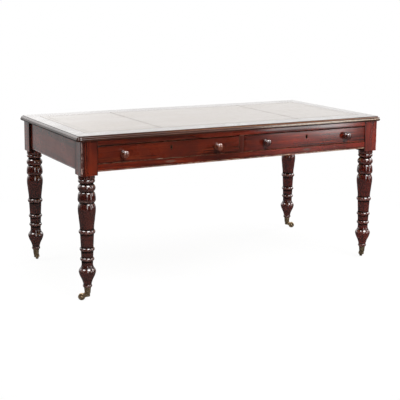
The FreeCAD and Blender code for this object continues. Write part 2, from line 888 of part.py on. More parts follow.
def caster_wheel():
    """A solid brass wheel with rounded edges, bored to run on the axle."""
    half = wheel_width / 2
    flat = half - wheel_round
    slant = wheel_round * math.sqrt(0.5)
    rim = wheel_radius - wheel_round
    steps = [
        [(rim, -half)],
        [(rim + slant, -flat - slant), (wheel_radius, -flat)],
        [(wheel_radius, flat)],
        [(rim + slant, flat + slant), (rim, half)],
        [(0, half)],
    ]
    wheel = turned(-half, steps)
    bore_radius = axle_radius + axle_clearance
    bore = Part.makeCylinder(bore_radius, wheel_width + 2 * overrun, vector(0, 0, -half - overrun))
    wheel = wheel.cut(bore)
    wheel.rotate(vector(0, 0, 0), vector(1, 0, 0), 90)
    wheel.translate(vector(caster_trail, 0, wheel_radius))
    return wheel


def caster_axle():
    """The wheel's axle, with a domed rivet head outside each cheek."""
    shank = wheel_width / 2 + wheel_side_gap + horn_arm_thickness
    end = shank + axle_head_length
    dome_radius = (axle_head_radius**2 + axle_head_length**2) / (2 * axle_head_length)
    half_angle = math.asin(axle_head_radius / dome_radius) / 2
    middle_radius = dome_radius * math.sin(half_angle)
    middle_rise = axle_head_length - dome_radius * (1 - math.cos(half_angle))
    steps = [
        [(middle_radius, -shank - middle_rise), (axle_head_radius, -shank)],
        [(axle_radius, -shank)],
        [(axle_radius, shank)],
        [(axle_head_radius, shank)],
        [(middle_radius, shank + middle_rise), (0, end)],
    ]
    axle = turned(-end, steps)
    axle.rotate(vector(0, 0, 0), vector(1, 0, 0), 90)
    axle.translate(vector(caster_trail, 0, wheel_radius))
    return axle


def save_casters():
    makers = {"cup": caster_cup, "horn": caster_horn, "wheel": caster_wheel, "axle": caster_axle}
    for corner, turn in caster_turns.items():
        x = leg_x if corner.endswith("right") else -leg_x
        y = leg_y if corner.startswith("back") else -leg_y
        for piece, make in makers.items():
            shape = make()
            shape.rotate(vector(0, 0, 0), vector(0, 0, 1), turn)
            shape.translate(vector(x, y, 0))
            save(corner + "_caster_" + piece, shape)


def save_top():
    front_board, right_board = border_boards()
    centre_leather, right_leather = leather_panels()
    save("top_border_front", front_board)
    save("top_border_back", mirrored_y(front_board))
    save("top_border_right", right_board)
    save("top_border_left", mirrored_x(right_board))
    save("top_core", core_panel())
    save("leather_centre", centre_leather)
    save("leather_right", right_leather)
    save("leather_left", mirrored_x(right_leather))


def save_carcass():
    top_rail = front_top_rail()
    bottom_rail = front_bottom_rail()
    side_rail = right_side_rail()
    rear_rail = back_rail()
    front_leg = right_front_leg([top_rail, bottom_rail, side_rail])
    rear_leg = mirrored_y(right_front_leg([mirrored_y(rear_rail), side_rail]))
    save("front_right_leg", front_leg)
    save("front_left_leg", mirrored_x(front_leg))
    save("back_right_leg", rear_leg)
    save("back_left_leg", mirrored_x(rear_leg))
    save("front_top_rail", top_rail)
    save("front_bottom_rail", bottom_rail)
    save("drawer_divider", divider())
    save("right_side_rail", side_rail)
    save("left_side_rail", mirrored_x(side_rail))
    save("back_rail", rear_rail)
    save("fillet_strips", *fillet_strips())
    save("drawer_runners", *drawer_runners())
    save("drawer_guides", *drawer_guides())
    save("drawer_kickers", *kickers())
    save("drawer_stops", *drawer_stops())
    save("glue_blocks", *glue_blocks())
    save("top_screws", *top_screws())


def save_drawers():
    opposite = {"left_side": "right_side", "right_side": "left_side"}
    for piece, solids in right_drawer().items():
        save("right_drawer_" + piece, *solids)
        twin = opposite.get(piece, piece)
        save("left_drawer_" + twin, *[mirrored_x(solid) for solid in solids])


os.makedirs("parts", exist_ok=True)
save_top()
save_carcass()
save_drawers()
save_casters()
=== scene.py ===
import math

import bmesh
import bpy
from mathutils import Matrix, Vector


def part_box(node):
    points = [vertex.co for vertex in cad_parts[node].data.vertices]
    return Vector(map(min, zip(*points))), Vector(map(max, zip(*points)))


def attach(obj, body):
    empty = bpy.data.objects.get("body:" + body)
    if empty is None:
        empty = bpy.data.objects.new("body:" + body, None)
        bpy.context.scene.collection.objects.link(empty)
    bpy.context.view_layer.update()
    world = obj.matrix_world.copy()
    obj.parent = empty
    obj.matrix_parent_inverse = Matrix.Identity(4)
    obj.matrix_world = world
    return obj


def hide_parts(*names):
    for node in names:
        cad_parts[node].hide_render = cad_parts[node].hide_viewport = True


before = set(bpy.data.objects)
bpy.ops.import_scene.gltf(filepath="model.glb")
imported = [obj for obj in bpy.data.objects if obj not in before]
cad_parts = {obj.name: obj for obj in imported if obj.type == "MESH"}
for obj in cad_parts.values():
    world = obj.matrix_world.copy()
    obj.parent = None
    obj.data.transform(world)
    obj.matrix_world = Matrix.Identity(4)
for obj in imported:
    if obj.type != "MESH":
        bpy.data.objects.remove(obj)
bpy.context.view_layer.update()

scene = bpy.context.scene

# The camera
# A long lens from the front left, a little above the top, looking down by nine degrees.
# The lens is shifted down, as on a camera with a falling front, and leans half a degree.
camera_place = Vector((-2.303, -4.194, 1.392))
camera_yaw = math.radians(28.576)
camera_pitch = math.radians(9.001)
camera_roll = math.radians(0.549)
camera_lens = 84.66
camera_sensor = 36.0
camera_shift = -0.15

ahead = Vector((
    math.sin(camera_yaw) * math.cos(camera_pitch),
    math.cos(camera_yaw) * math.cos(camera_pitch),
    -math.sin(camera_pitch),
))
level_right = Vector((math.cos(camera_yaw), -math.sin(camera_yaw), 0))
level_up = level_right.cross(ahead)
camera_right = math.cos(camera_roll) * level_right + math.sin(camera_roll) * level_up
camera_up = math.cos(camera_roll) * level_up - math.sin(camera_roll) * level_right

lens = bpy.data.cameras.new("camera")
lens.lens = camera_lens
lens.sensor_width = camera_sensor
lens.shift_y = camera_shift
camera = bpy.data.objects.new("camera", lens)
turn = Matrix((camera_right, camera_up, -ahead)).transposed().to_4x4()
camera.matrix_world = Matrix.Translation(camera_place) @ turn
scene.collection.objects.link(camera)
scene.camera = camera
scene.view_settings.view_transform = "Standard"


# The studio
# A white paper floor in a room that is dim round the camera. The room has a bright wall behind
# the desk, four soft boxes overhead, and a strip, three panes and a window to the front and right.
# The floor is clear from below, so the underside can be seen.
class Wire:
    """One socket of a node tree. Sums on it add Math nodes, and node() adds any other node."""

    def __init__(self, tree, socket=None):
        self.tree = tree
        self.socket = socket

    def node(self, kind, settings, inputs, output=0):
        made = self.tree.nodes.new(kind)
        for name, value in settings.items():
            setattr(made, name, value)
        for name, value in inputs.items():
            if isinstance(value, Wire):
                self.tree.links.new(value.socket, made.inputs[name])
            else:
                made.inputs[name].default_value = value
        return Wire(self.tree, made.outputs[output] if made.outputs else None)

    def beside(self, output):
        """Another output of the same node."""
        return Wire(self.tree, self.socket.node.outputs[output])

    def math(self, operation, *values):
        return self.node("ShaderNodeMath", {"operation": operation}, dict(enumerate(values)))

    def at_least(self, other):
        return self.math("MAXIMUM", self, other)

    def at_most(self, other):
        return self.math("MINIMUM", self, other)

    def __abs__(self):
        return self.math("ABSOLUTE", self)

    def __add__(self, other):
        return self.math("ADD", self, other)

    __radd__ = __add__

    def __sub__(self, other):
        return self.math("SUBTRACT", self, other)

    def __rsub__(self, other):
        return self.math("SUBTRACT", other, self)

    def __mul__(self, other):
        return self.math("MULTIPLY", self, other)

    __rmul__ = __mul__


def eased(value, start, end, least=0.0, most=1.0):
    """A smooth change from least to most as the value goes from start to end."""
    inputs = {
        "Value": value, "From Min": start, "From Max": end, "To Min": least, "To Max": most,
    }
    return value.node("ShaderNodeMapRange", {"interpolation_type": "SMOOTHSTEP"}, inputs)


def between(value, rise, fall):
    """One between two limits, rising over the first pair of values and falling over the second."""
    return eased(value, *rise) * eased(value, *fall)


def part(vector, axis):
    """The X, Y or Z of a vector."""
    return vector.node("ShaderNodeSeparateXYZ", {}, {0: vector}, axis)


def length(vector):
    return vector.node("ShaderNodeVectorMath", {"operation": "LENGTH"}, {0: vector}, "Value")


def new_tree(holder):
    holder.use_nodes = True
    holder.node_tree.nodes.clear()
    return Wire(holder.node_tree)


# Easts, norths and heights here are parts of a direction of length one, and a level is a height
# with its sign taken off. A bearing is in radians from the desk's front towards its right end.
# A pair is where a rise or a fall starts and ends, and two pairs are a rise and then a fall.
dim_end_bright = 0.014

wall_bright = 1.15
wall_foot_bright = 0.36
wall_foot_heights = (-0.05, 0.03)
wall_top_heights = (0.75, 0.5)
wall_norths = (-0.05, 0.35)
wall_corner_easts = (-0.8, -0.5)
wall_corner_share = 0.12
wall_middle_easts = (0.3, 0.42)
wall_middle_share = 1.22

side_strip_bright = 0.5
side_strip_bearings = ((0.53, 0.62), (0.9, 0.78))
side_strip_dimming = (0.62, 0.67)
side_strip_dimmed_share = 0.35
side_strip_levels = (0.26, 0.19)

front_pane_bright = 0.24
front_pane_bearings = ((-0.46, -0.3), (-0.02, -0.18))
front_pane_levels = (0.6, 0.35)

tall_pane_bright = 2.8
tall_pane_heights = ((-0.02, 0.05), (0.62, 0.55))
front_tall_pane_bearings = ((-0.36, -0.3), (-0.12, -0.18))
right_tall_pane_bearings = ((0.92, 0.98), (1.22, 1.16))

window_bright = 2.8
window_core_bright = 2.4
window_rise = (0.555, 0.582)
window_core_rise = (0.61, 0.635)
window_fall = (0.672, 0.642)
window_heights = ((-0.153, -0.138), (0.88, 0.8))

soft_box_edge = math.cos(math.radians(18))
soft_box_core = math.cos(math.radians(9))
soft_boxes = (
    ((-0.524, 0.045, 0.849), 8.0),
    ((0.119, -0.382, 0.915), 9.0),
    ((0.791, 0.066, 0.606), 9.0),
    ((0.09, -0.64, 0.763), 6.0),
)

room = bpy.data.worlds.new("white_room")
room_tree = new_tree(room)
heading = room_tree.node("ShaderNodeTexCoord", {}, {}, "Generated")
east = part(heading, "X")
north = part(heading, "Y")
height = part(heading, "Z")
level = abs(height)
bearing = east.math("ARCTAN2", east, -1 * north)

wall = eased(height, *wall_foot_heights, wall_foot_bright, wall_bright)
wall = wall * eased(height, *wall_top_heights) * eased(north, *wall_norths)
wall = wall * eased(east, *wall_corner_easts, wall_corner_share, 1.0)
wall = wall * eased(east, *wall_middle_easts, wall_middle_share, 1.0)

side_strip = between(bearing, *side_strip_bearings)
side_strip = side_strip * eased(bearing, *side_strip_dimming, 1.0, side_strip_dimmed_share)
side_strip = side_strip * eased(level, *side_strip_levels) * side_strip_bright
front_pane = between(bearing, *front_pane_bearings) * eased(level, *front_pane_levels)
tall_panes = between(bearing, *front_tall_pane_bearings) + between(bearing, *right_tall_pane_bearings)
tall_panes = tall_panes * between(height, *tall_pane_heights) * tall_pane_bright
low_lights = side_strip.at_least(front_pane * front_pane_bright) + tall_panes

window = eased(bearing, *window_rise) * window_bright
window = window + eased(bearing, *window_core_rise) * window_core_bright
window = window * eased(bearing, *window_fall) * between(height, *window_heights)

radiance = wall.at_least(low_lights).at_least(dim_end_bright) + window
for direction, brightness in soft_boxes:
    facing = heading.node(
        "ShaderNodeVectorMath", {"operation": "DOT_PRODUCT"}, {0: heading, 1: direction}, "Value"
    )
    radiance = radiance + eased(facing, soft_box_edge, soft_box_core) * brightness
camera_ray = room_tree.node("ShaderNodeLightPath", {}, {}, "Is Camera Ray")
strength = camera_ray + (1 - camera_ray) * radiance
background = room_tree.node(
    "ShaderNodeBackground", {}, {"Color": (1, 1, 1, 1), "Strength": strength}
)
room_tree.node("ShaderNodeOutputWorld", {}, {"Surface": background})
scene.world = room

floor_left = -3.0
floor_right = 3.0
floor_front = -2.0
floor_back = 2.3
floor_glow = 0.94
floor_mirrored = 0.1
floor_paper = (0.9, 0.9, 0.9, 1)
floor_fade = (1.3, 1.9)


def new_material(name):
    """An empty material, and the place of each point of its surface in metres."""
    material = bpy.data.materials.new(name)
    return material, new_tree(material).node("ShaderNodeTexCoord", {}, {}, "Object")


floor_material, place = new_material("paper_floor")
camera_ray = place.node("ShaderNodeLightPath", {}, {}, "Is Camera Ray")
mirror_ray = camera_ray.beside("Is Glossy Ray").at_least(camera_ray.beside("Is Transmission Ray"))
glow_share = camera_ray * eased(length(place), *floor_fade, floor_glow, 1.0) + mirror_ray
paper = place.node("ShaderNodeBsdfDiffuse", {}, {"Color": floor_paper})
seen_glow = place.node("ShaderNodeEmission", {}, {"Strength": 1.0})
mirrored_glow = place.node("ShaderNodeEmission", {}, {"Strength": floor_mirrored})
glow = place.node("ShaderNodeMixShader", {}, {0: mirror_ray, 1: seen_glow, 2: mirrored_glow})
lit = place.node("ShaderNodeMixShader", {}, {0: glow_share, 1: paper, 2: glow})
from_below = place.node("ShaderNodeNewGeometry", {}, {}, "Backfacing")
clear = place.node("ShaderNodeBsdfTransparent", {}, {})
seen = place.node("ShaderNodeMixShader", {}, {0: from_below, 1: lit, 2: clear})
place.node("ShaderNodeOutputMaterial", {}, {"Surface": seen})

floor_mesh = bpy.data.meshes.new("floor")
floor_mesh.from_pydata(
    [
        (floor_left, floor_front, 0), (floor_right, floor_front, 0),
        (floor_right, floor_back, 0), (floor_left, floor_back, 0),
    ],
    [], [(0, 1, 2, 3)],
)
floor_mesh.materials.append(floor_material)
floor = bpy.data.objects.new("floor", floor_mesh)
scene.collection.objects.link(floor)


# The legs
# Each is one length of mahogany, square at the top and turned below, French polished dark red.
# The square has a quirked bead on its outer corner. Dirt and old polish lie black in the hollows, and
# the same black is painted shade on the square's sides by the rails.
def stretched(place, scale, shift=(0, 0, 0)):
    """A place scaled along X, Y and Z and then shifted."""
    inputs = {0: place, 1: scale, 2: shift}
    return place.node("ShaderNodeVectorMath", {"operation": "MULTIPLY_ADD"}, inputs)


def noise(where, scale, detail, roughness=0.5, distortion=0.0):
    inputs = {
        "Vector": where, "Scale": scale, "Detail": detail, "Roughness": roughness,
        "Distortion": distortion,
    }
    return where.node("ShaderNodeTexNoise", {}, inputs)


def grain_noise(place, along, shift, lengthwise, crosswise, detail, roughness, distortion):
    """Noise with one scale along the grain and another across it."""
    scale = [crosswise] * 3
    scale[along] = lengthwise
    return noise(stretched(place, scale, shift), 1.0, detail, roughness, distortion)


def mixed(factor, first, second, blend="MIX"):
    """A colour that goes from the first to the second as the factor goes from 0 to 1."""
    settings = {"data_type": "RGBA", "blend_type": blend}
    return factor.node("ShaderNodeMix", settings, {0: factor, 6: first, 7: second}, 2)


def relief_of(place):
    """How proud or hollow the mesh is marked at each point, from 1 to -1; some marks are painted
    light.
    """
    return place.node("ShaderNodeAttribute", {"attribute_name": "relief"}, {}, "Fac")


def bumped(height, strength, depth):
    """Normals that follow a small height over the surface."""
    inputs = {"Strength": strength, "Distance": depth, "Height": height}
    return height.node("ShaderNodeBump", {}, inputs)


def surfaced(place, inputs):
    """Gives a material its surface."""
    surface = place.node("ShaderNodeBsdfPrincipled", {}, inputs)
    place.node("ShaderNodeOutputMaterial", {}, {"Surface": surface})


# A noise is its scale along and across the grain, its detail, its roughness and its distortion.
figure_noise = (1.6, 16.0, 3.0, 0.55, 0.7)
streak_noise = (4.0, 190.0, 4.0, 0.6, 0.2)
ribbon_noise = (0.9, 55.0, 2.0, 0.5, 0.4)
pore_noise = (70.0, 1500.0, 1.0, 0.5, 0.0)
blotch_noise = (7.0, 7.0, 3.0, 0.55, 0.3)
scuff_noise = (45.0, 60.0, 3.0, 0.6, 0.5)
broken_noise = (160.0, 420.0, 2.0, 0.6, 0.0)
wave_noise = (9.0, 22.0, 2.0, 0.5, 0.0)

# An ease is where a change starts and ends, and then its least and most where they aren't 0 and 1.
figure_ease = (0.38, 0.6)
streak_ease = (0.45, 0.7, 0.0, 0.6)
ribbon_ease = (0.4, 0.62, 0.0, 0.35)
pore_ease = (0.56, 0.66)
blotch_ease = (0.45, 0.7, 0.0, 0.5)
hollow_ease = (-0.12, -0.9)
proud_ease = (0.25, 0.9)
rubbing_ease = (0.4, 0.6, 0.15, 1.0)
broken_ease = (0.4, 0.58, 0.35, 1.0)
mark_ease = (1.0, 0.5, 0.0, 0.75)
polish_roughness_ease = (0.3, 0.7, 0.24, 0.38)
scuff_roughness_ease = (0.55, 0.75, 0.0, 0.05)
scuff_dulling_ease = (0.6, 0.8, 0.0, 0.04)

open_pore_share = 0.6
filled_pore_share = 0.15
old_polish_and_shade_share = 0.92
hollow_roughness = 0.25
rubbed_roughness = 0.1
wave_height = 0.14
streak_height = 0.05
pore_sinking = 0.02
scuff_sinking = 0.02
polish_bump = 0.4
polish_bump_depth = 0.0006
polish_coat_roughness = 0.05
wood_specular = 0.12
turned_wear = 0.1
flat_wear = 0.8
tone_blend = 0.001

pore_dirt = (0.012, 0.003, 0.002, 1)
old_polish_and_shade = (0.006, 0.003, 0.002, 1)
brown_rub_and_highlight = (0.4, 0.26, 0.17, 1)
bead_rub_and_highlight = (0.72, 0.5, 0.44, 1)
# Painted light: from these easts on, the wood is tinted lighter and redder towards the right end.
right_light_easts = (-0.1, 0.25)
right_light_tint = (1.7, 1.08, 1.0, 1)


def mahogany(
    name, along, shift, tones, wear, coat_index, upper_tones=None, upper_from=0.0, marks=(),
    rubbed=brown_rub_and_highlight, right_light_share=0.0,
):
    """Polished mahogany with its grain along one axis.

    Above upper_from it takes upper_tones. Each mark is a point, its reach along X, Y and Z, and
    the colour of the stain, chip, painted shadow or painted highlight it stands for. The last
    argument is the share of painted light that makes the wood lighter and redder towards the right
    end.
    """
    material, place = new_material(name)
    deep, red, light = tones
    pore_share = open_pore_share
    if upper_tones:
        pore_share = filled_pore_share
        above = eased(part(place, "Z"), upper_from - tone_blend, upper_from + tone_blend)
        deep, red, light = (mixed(above, *pair) for pair in zip(tones, upper_tones))
        wear = wear + above * (flat_wear - wear)

    figure = grain_noise(place, along, shift, *figure_noise)
    streaks = grain_noise(place, along, shift, *streak_noise)
    ribbon = grain_noise(place, along, shift, *ribbon_noise)
    pores = eased(grain_noise(place, along, shift, *pore_noise), *pore_ease)
    blotches = grain_noise(place, along, shift, *blotch_noise)
    scuffs = grain_noise(place, along, shift, *scuff_noise)
    waves = grain_noise(place, along, shift, *wave_noise)
    relief = relief_of(place)
    hollow = eased(relief, *hollow_ease)
    proud = eased(relief, *proud_ease) * wear

    colour = mixed(eased(figure, *figure_ease), deep, red)
    colour = mixed(eased(streaks, *streak_ease), colour, light)
    colour = mixed(eased(ribbon, *ribbon_ease), colour, red)
    colour = mixed(eased(blotches, *blotch_ease), colour, deep)
    colour = mixed(pores * pore_share, colour, pore_dirt)
    # Painted light: the wood is made lighter and redder towards the right end, by the share given
    # last.
    right_lighting = eased(part(place, "X"), *right_light_easts, 0.0, right_light_share)
    colour = mixed(right_lighting, colour, right_light_tint, "MULTIPLY")
    # Proud marks take the rubbed colour; on the leg's corner bead, the front round of the top and the
    # heads of the drawer fronts it is also a painted highlight.
    colour = mixed(proud * eased(scuffs, *rubbing_ease), colour, rubbed)
    for centre, reach, mark_colour in marks:
        scale = Vector([1 / size for size in reach])
        away = length(stretched(place, scale, -scale * Vector(centre)))
        broken = eased(grain_noise(place, along, shift, *broken_noise), *broken_ease)
        colour = mixed(eased(away, *mark_ease) * broken, colour, mark_colour)
    # Hollow marks take black old polish. On the squares' sides by the rails, the foot of the front
    # round, the round at the left end and the ends of the drawer fronts, this black is painted shade.
    colour = mixed(hollow * old_polish_and_shade_share, colour, old_polish_and_shade)

    roughness = eased(blotches, *polish_roughness_ease) + eased(scuffs, *scuff_roughness_ease)
    roughness = roughness + hollow * hollow_roughness + proud * rubbed_roughness
    dull = hollow.at_least(eased(scuffs, *scuff_dulling_ease))
    height = waves * wave_height + streaks * streak_height
    height = height - pores * pore_sinking - scuffs * scuff_sinking
    surfaced(place, {
        "Base Color": colour, "Roughness": roughness, "Coat Weight": 1 - dull,
        "Coat Roughness": polish_coat_roughness, "Coat IOR": coat_index,
        "Specular IOR Level": wood_specular,
        "Normal": bumped(height, polish_bump, polish_bump_depth),
    })
    return material


sharp_fold = math.radians(35)
shading_fold = math.radians(50)
flat_fold = math.radians(0.3)
weld_distance = 0.000002
arris_segments = 2
round_profile = 0.5
fully_proud = 1.0
fully_hollow = -1.0


def relief_layer(solid):
    return solid.verts.layers.float.get("relief") or solid.verts.layers.float.new("relief")


def worn(solid, arris, dirt_width=0.0):
    """Wears the sharp arrises of a bmesh round, and marks them proud or hollow for the polish."""
    relief = relief_layer(solid)
    for convex, mark, width in (
        (True, fully_proud, arris), (False, fully_hollow, dirt_width or arris)
    ):
        sharp = [
            edge for edge in solid.edges
            if edge.is_manifold and edge.calc_face_angle() > sharp_fold
            and edge.is_convex == convex
        ]
        if not sharp:
            continue
        made = bmesh.ops.bevel(
            solid, geom=sharp, offset=width, offset_type="OFFSET", segments=arris_segments,
            profile=round_profile, affect="EDGES", clamp_overlap=True,
        )
        strips = set(made["faces"])
        for corner in made["verts"]:
            if corner.is_valid and all(face in strips for face in corner.link_faces):
                corner[relief] = mark
    return solid


def shown(solid, node, finish, body, material):
    """Turns a bmesh into a smooth-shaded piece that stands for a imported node."""
    name = node + "." + finish
    mesh = bpy.data.meshes.new(name)
    solid.normal_update()
    solid.to_mesh(mesh)
    solid.free()
    mesh.shade_smooth()
    mesh.set_sharp_from_angle(angle=shading_fold)
    mesh.materials.append(material)
    piece = bpy.data.objects.new(name, mesh)
    scene.collection.objects.link(piece)
    fair = piece.modifiers.new("fair_faces", "WEIGHTED_NORMAL")
    fair.keep_sharp = True
    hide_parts(node)
    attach(piece, body)


def packed_copy(node):
    """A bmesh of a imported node, its split corners joined and its flat faces whole again."""
    solid = bmesh.new()
    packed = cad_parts[node].data
    corners = [solid.verts.new(corner.co) for corner in packed.vertices]
    for polygon in packed.polygons:
        solid.faces.new([corners[index] for index in polygon.vertices])
    bmesh.ops.remove_doubles(solid, verts=solid.verts, dist=weld_distance)
    bmesh.ops.dissolve_limit(
        solid, angle_limit=flat_fold, use_dissolve_boundaries=False,
        verts=solid.verts, edges=solid.edges, delimit={"NORMAL"},
    )
    return solid


block_size = 0.078
block_bottom = 0.580
block_arris = 0.0009
rail_side_margin = 1.5 * block_arris
shaded_edge = 0.003
joint_shade = -0.45
corner_bead_radius = 0.0042
corner_quirk_width = 0.0015
corner_bead_steps = 12
corner_bead_start = 180
corner_bead_sweep = 270
bead_rub_and_highlight_step = 5
bead_rub_and_highlight_fall = 0.4
turning_sides = 96
turned_arris = 0.0012
hollow_window = 0.009
hollow_depth = 0.0028
outline_digits = 5


def packed_outline(node, centre, below):
    """Radius and height of a turned node's outline from the top down, read from its mesh."""
    levels = {}
    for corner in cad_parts[node].data.vertices:
        if corner.co.z < below:
            radius = math.hypot(corner.co.x - centre.x, corner.co.y - centre.y)
            radii = levels.setdefault(round(corner.co.z, outline_digits), set())
            radii.add(round(radius, outline_digits))
    outline = []
    last = block_size / 2
    for height in sorted(levels, reverse=True):
        radii = sorted(levels[height], key=lambda radius: abs(radius - last))
        ends = [radii[0], radii[-1]] if abs(radii[-1] - radii[0]) > turned_arris else radii[:1]
        for radius in ends:
            outline.append(Vector((radius, height)))
            last = radius
    return outline


def eased_corners(outline, reach):
    """The outline with each sharp corner cut back a little on both sides."""
    eased_points = [outline[0]]
    for before, corner, after in zip(outline, outline[1:], outline[2:]):
        arriving = corner - before
        leaving = after - corner
        if arriving.length < reach or leaving.length < reach:
            eased_points.append(corner)
        elif arriving.angle(leaving) < sharp_fold:
            eased_points.append(corner)
        else:
            start_point = corner - arriving.normalized() * reach
            end_point = corner + leaving.normalized() * reach
            eased_points += [start_point, (start_point + end_point + 2 * corner) / 4, end_point]
    eased_points.append(outline[-1])
    return eased_points


def relief_along(outline):
    """How far each point of an outline stands out of, or lies below, its surroundings."""
    marks = []
    for point in outline:
        near = [other.x for other in outline if abs(other.y - point.y) < hollow_window]
        stand = (point.x - (max(near) + min(near)) / 2) / hollow_depth
        marks.append(max(fully_hollow, min(fully_proud, stand)))
    return marks


def add_turning(solid, outline, centre):
    """Adds the turned length of a leg, an outline swept round the leg's axis."""
    relief = relief_layer(solid)
    rings = []
    for point, mark in zip(outline, relief_along(outline)):
        ring = []
        for side in range(turning_sides):
            angle = 2 * math.pi * side / turning_sides
            corner = solid.verts.new((
                centre.x + point.x * math.cos(angle), centre.y + point.x * math.sin(angle), point.y
            ))
            corner[relief] = mark
            ring.append(corner)
        rings.append(ring)
    for upper, lower in zip(rings, rings[1:]):
        for side in range(turning_sides):
            following = (side + 1) % turning_sides
            solid.faces.new((upper[side], lower[side], lower[following], upper[following]))
    solid.faces.new(rings[0])
    solid.faces.new(list(reversed(rings[-1])))


def block_section(centre, out_x, out_y):
    """Plan of the square, with the quirked bead on its outer corner, and each point's relief.

    The sides that face the rails are marked hollow, which paints shade into the recesses beside the
    rails.
    """
    half = block_size / 2
    radius = corner_bead_radius
    bead = half - radius
    flat = bead - radius - corner_quirk_width
    polished = half - shaded_edge
    points = [(-half, -polished, fully_hollow), (-half, -half, fully_hollow)]
    points += [(-polished, -half, joint_shade), (flat, -half, 0)]
    points.append((bead - radius, -bead, fully_hollow))
    for step in range(1, corner_bead_steps):
        angle = math.radians(corner_bead_start + corner_bead_sweep * step / corner_bead_steps)
        # One line down the bead is marked proud: rubbing with a painted highlight.
        mark = max(0, 1 - abs(step - bead_rub_and_highlight_step) * bead_rub_and_highlight_fall)
        points.append((bead + radius * math.cos(angle), -bead + radius * math.sin(angle), mark))
    points += [(bead, -bead + radius, fully_hollow), (half, -flat, 0)]
    points += [(half, polished, joint_shade), (half, half, fully_hollow)]
    points.append((-half, half, fully_hollow))
    plan = [(centre.x + out_x * x, centre.y - out_y * y, mark) for x, y, mark in points]
    return plan if out_x * out_y < 0 else list(reversed(plan))


leg_coat = 2.05
leg_grain_scale = Vector((7, 11, 0))
leg_grain_start = Vector((0, 0, 3))
turned_tones = ((0.031, 0.0042, 0.002, 1), (0.048, 0.0064, 0.003, 1), (0.066, 0.0106, 0.0044, 1))
front_tones = ((0.034, 0.0045, 0.0026, 1), (0.155, 0.0165, 0.0058, 1), (0.25, 0.042, 0.013, 1))

for node in ("front_left_leg", "front_right_leg", "back_left_leg", "back_right_leg"):
    low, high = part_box(node)
    centre = (low + high) / 2
    out_x = math.copysign(1, centre.x)
    out_y = -1 if node.startswith("front") else 1
    solid = bmesh.new()
    relief = relief_layer(solid)
    bottom = []
    for x, y, mark in block_section(centre, out_x, out_y):
        corner = solid.verts.new((x, y, block_bottom))
        corner[relief] = mark
        bottom.append(corner)
    base = solid.faces.new(bottom)
    upper = bmesh.ops.extrude_face_region(solid, geom=[base])
    raised = [item for item in upper["geom"] if isinstance(item, bmesh.types.BMVert)]
    bmesh.ops.translate(solid, verts=raised, vec=(0, 0, high.z - block_bottom))
    bmesh.ops.recalc_face_normals(solid, faces=solid.faces)
    worn(solid, block_arris)
    # The sides by the rails are marked hollow all over: painted shade in the recesses.
    for corner in solid.verts:
        inward_x = (centre.x - corner.co.x) * out_x
        inward_y = (centre.y - corner.co.y) * out_y
        if max(inward_x, inward_y) > block_size / 2 - rail_side_margin:
            corner[relief] = fully_hollow
    outline = packed_outline(node, centre, block_bottom - turned_arris)
    top_point = Vector((outline[0].x, block_bottom + turned_arris))
    add_turning(solid, eased_corners([top_point] + outline, turned_arris), centre)
    bmesh.ops.recalc_face_normals(solid, faces=solid.faces)
    # Painted light makes the legs lighter and redder towards the right end.
    wood = mahogany(
        node + "_polish", 2, centre * leg_grain_scale + leg_grain_start, turned_tones, turned_wear,
        leg_coat, upper_tones=front_tones, upper_from=block_bottom, rubbed=bead_rub_and_highlight, right_light_share=1.0,
    )
    shown(solid, node, "turned", "desk", wood)


# The rails
# Mahogany rails tenoned into the squares. All but the front top rail have a quirked bead along
# the lower edge. The front pair stands nearly flush, and the side and back rails are set back,
# with fillet strips above them. The upright between the drawers is of the same wood.
rail_coat = 1.68
rail_arris = 0.0009
rail_grain_shift = Vector((3.1, 1.7, 2.3))
side_tones = ((0.05, 0.008, 0.004, 1), (0.125, 0.017, 0.008, 1), (0.17, 0.034, 0.015, 1))
divider_tones = ((0.03, 0.005, 0.0025, 1), (0.078, 0.011, 0.005, 1), (0.105, 0.022, 0.009, 1))
side_right_light_share = 0.5
# Each rail's grain axis, its tones, and its share of the painted light that makes the wood lighter
# and redder towards the right end.
rails = {
    "front_top_rail": (0, front_tones, 1.0),
    "front_bottom_rail": (0, front_tones, 1.0),
    "drawer_divider": (2, divider_tones, side_right_light_share),
    "left_side_rail": (1, side_tones, side_right_light_share),
    "right_side_rail": (1, side_tones, side_right_light_share),
    "back_rail": (0, side_tones, side_right_light_share),
    "fillet_strips": (0, side_tones, side_right_light_share),
}
rail_bead_height = 0.0065
left_bead_relief = 0.55
front_face_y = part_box("front_bottom_rail")[0].y
scuffed = (0.14, 0.1, 0.075, 1)
bottom_rail_scuffs = (
    ((-0.38, front_face_y, 0.616), (0.035, 0.01, 0.007), scuffed),
    ((0.38, front_face_y, 0.616), (0.03, 0.01, 0.007), scuffed),
    ((0.55, front_face_y, 0.618), (0.008, 0.01, 0.004), scuffed),
)


def cut_across(solid, place, direction):
    """Cuts a bmesh's faces in two along a plane, and takes nothing away."""
    everything = solid.verts[:] + solid.edges[:] + solid.faces[:]
    bmesh.ops.bisect_plane(solid, geom=everything, plane_co=place, plane_no=direction)


def rub_lower_bead(solid):
    """Marks the front of a rail's lower bead as rubbed, the right half more than the left."""
    relief = relief_layer(solid)
    foot_z = min(corner.co.z for corner in solid.verts)
    bead_back = front_face_y + rail_bead_height / 2
    cut_across(solid, (0, bead_back, 0), (0, 1, 0))
    for corner in solid.verts:
        if corner.co.z - foot_z < rail_bead_height and corner.co.y < bead_back - weld_distance:
            corner[relief] = fully_proud if corner.co.x > 0 else left_bead_relief


for number, (node, (along, tones, right_light_share)) in enumerate(rails.items()):
    solid = worn(packed_copy(node), rail_arris)
    marks = ()
    if node == "front_bottom_rail":
        rub_lower_bead(solid)
        marks = bottom_rail_scuffs
    wood = mahogany(
        node + "_polish", along, number * rail_grain_shift, tones, flat_wear, rail_coat,
        marks=marks, right_light_share=right_light_share,
    )
    shown(solid, node, "polished", "desk", wood)


